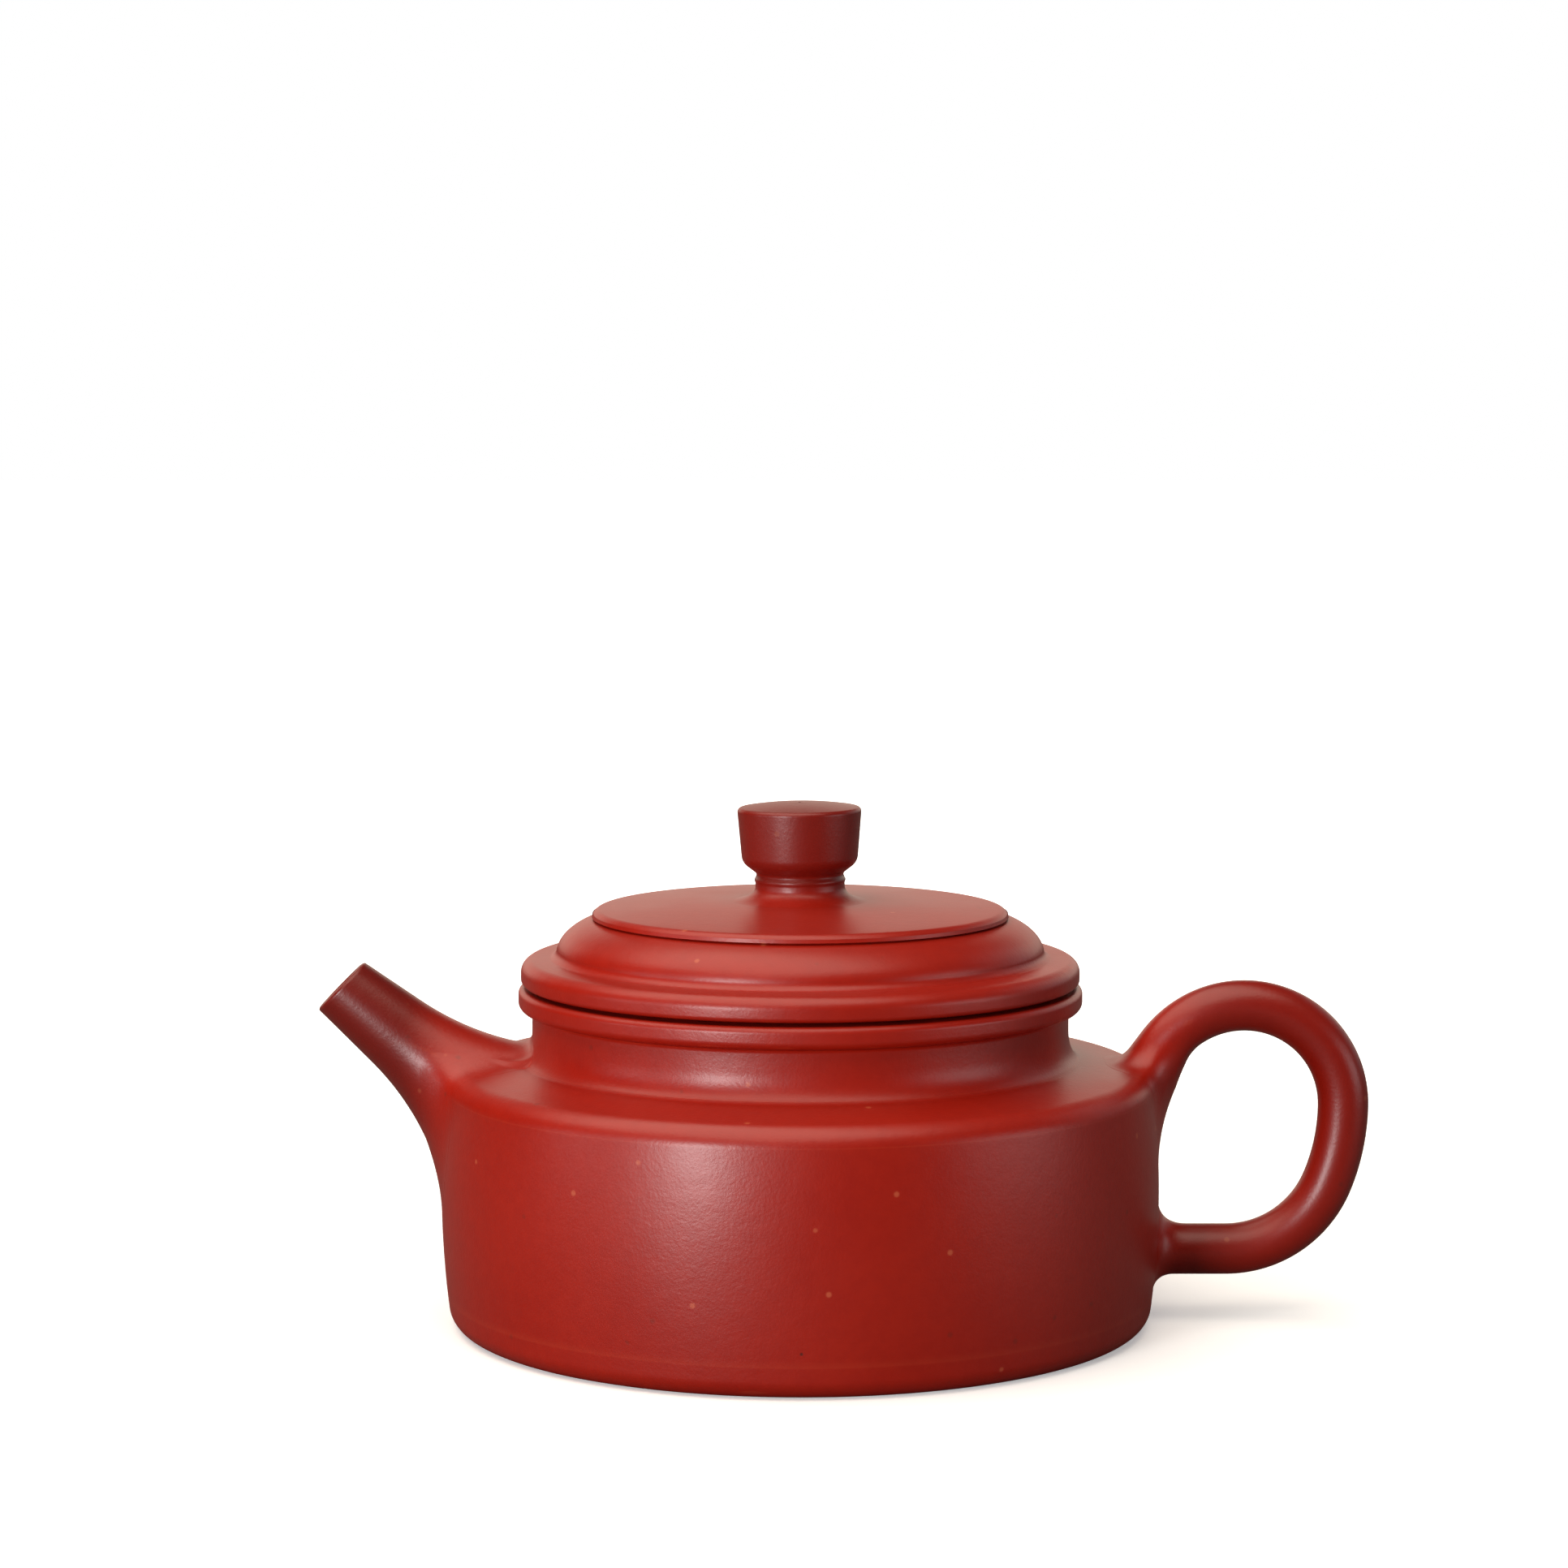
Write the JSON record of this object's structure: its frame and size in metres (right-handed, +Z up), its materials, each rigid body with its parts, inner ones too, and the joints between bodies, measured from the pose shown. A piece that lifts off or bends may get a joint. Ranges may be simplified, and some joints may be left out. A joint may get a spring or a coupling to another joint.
{
  "type": "clay teapot",
  "caption": "Low drum-shaped unglazed red clay teapot with a lift-off stepped lid, waisted knob, flared slanting spout and round ring handle.",
  "frame": {"origin": "centre of the flat base, where the pot's axis meets the surface it stands on", "axes": "+Z up along the pot's axis, +X towards the handle, -X towards the spout"},
  "size_m": [0.131, 0.0892, 0.0649],
  "materials": {
    "pot_clay": "satin, unglazed, fine sandy skin",
    "lid_clay": "satin, unglazed, fine sandy skin"
  },
  "bodies": {
    "pot": {"base_slab": "pot_clay", "wall_band": "pot_clay", "shoulder_slab": "pot_clay", "neck_ring": "pot_clay", "mouth_collar": "pot_clay", "spout": "pot_clay", "strainer_ball": "pot_clay", "handle": "pot_clay"},
    "flange": {"lid_flange": "lid_clay"},
    "lid": {"lid_plate": "lid_clay", "lid_step": "lid_clay", "lid_crown": "lid_clay", "knob": "lid_clay"}
  },
  "joints": [
    {"name": "lid_lift", "type": "slide", "parent": "pot", "child": "flange", "axis": [0, 0, 1], "range_m": [0, 0.045]},
    {"name": "lid_turn", "type": "hinge", "parent": "flange", "child": "lid", "pos_m": [0, 0, 0.042], "axis": [0, 0, 1], "continuous": true}
  ]
}
